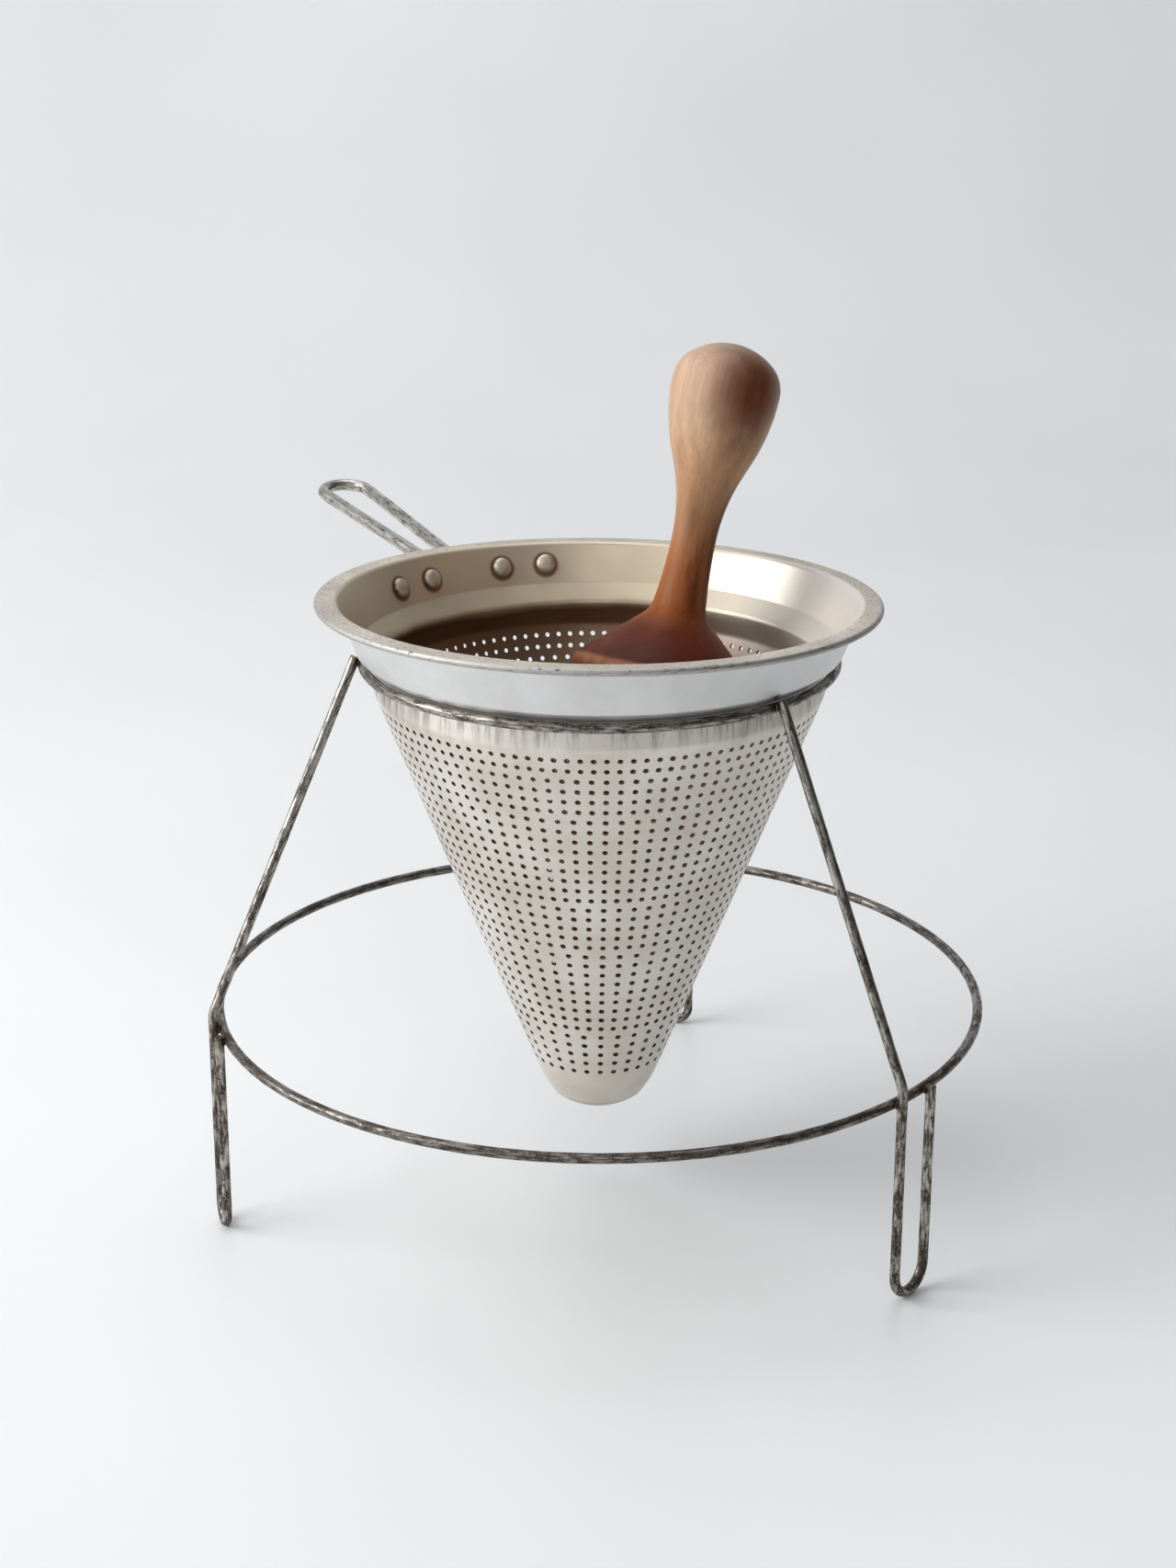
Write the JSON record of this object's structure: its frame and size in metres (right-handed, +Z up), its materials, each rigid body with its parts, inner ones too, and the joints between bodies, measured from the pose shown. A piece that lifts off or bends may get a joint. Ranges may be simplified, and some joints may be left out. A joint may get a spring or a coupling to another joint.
{
  "type": "potato ricer",
  "caption": "Conical perforated sieve with a rolled rim and a riveted wire handle, standing in a welded wire stand with a leaning turned wooden pestle.",
  "frame": {"origin": "on the sieve's axis at the level of the surface that the stand's feet rest on", "axes": "+Z up along the sieve's axis; -Y is the side that shows the cone's front, with the handle towards -X +Y and the pestle leaning towards +X +Y"},
  "size_m": [0.2685, 0.2931, 0.2898],
  "materials": {
    "sieve_aluminium": "satin",
    "handle_wire": "satin",
    "rivet_metal": "satin",
    "stand_wire": "satin",
    "pestle_wood": "satin"
  },
  "bodies": {
    "stand": {"top_ring": "stand_wire", "base_ring": "stand_wire", "leg_left": "stand_wire", "leg_right": "stand_wire", "leg_back": "stand_wire"},
    "sieve_with_handle": {"sieve": "sieve_aluminium", "wire_handle": "handle_wire", "handle_rivet_1": "rivet_metal", "handle_rivet_2": "rivet_metal", "handle_rivet_3": "rivet_metal", "handle_rivet_4": "rivet_metal"},
    "pestle": {"pestle": "pestle_wood"}
  },
  "joints": [
    {"name": "sieve_lift", "type": "slide", "parent": "stand", "child": "sieve_with_handle", "axis": [0, 0, 1], "range_m": [0, 0.18]},
    {"name": "pestle_roll", "type": "hinge", "parent": "sieve_with_handle", "child": "pestle", "pos_m": [0, 0, 0.12], "axis": [0, 0, 1], "continuous": true}
  ]
}
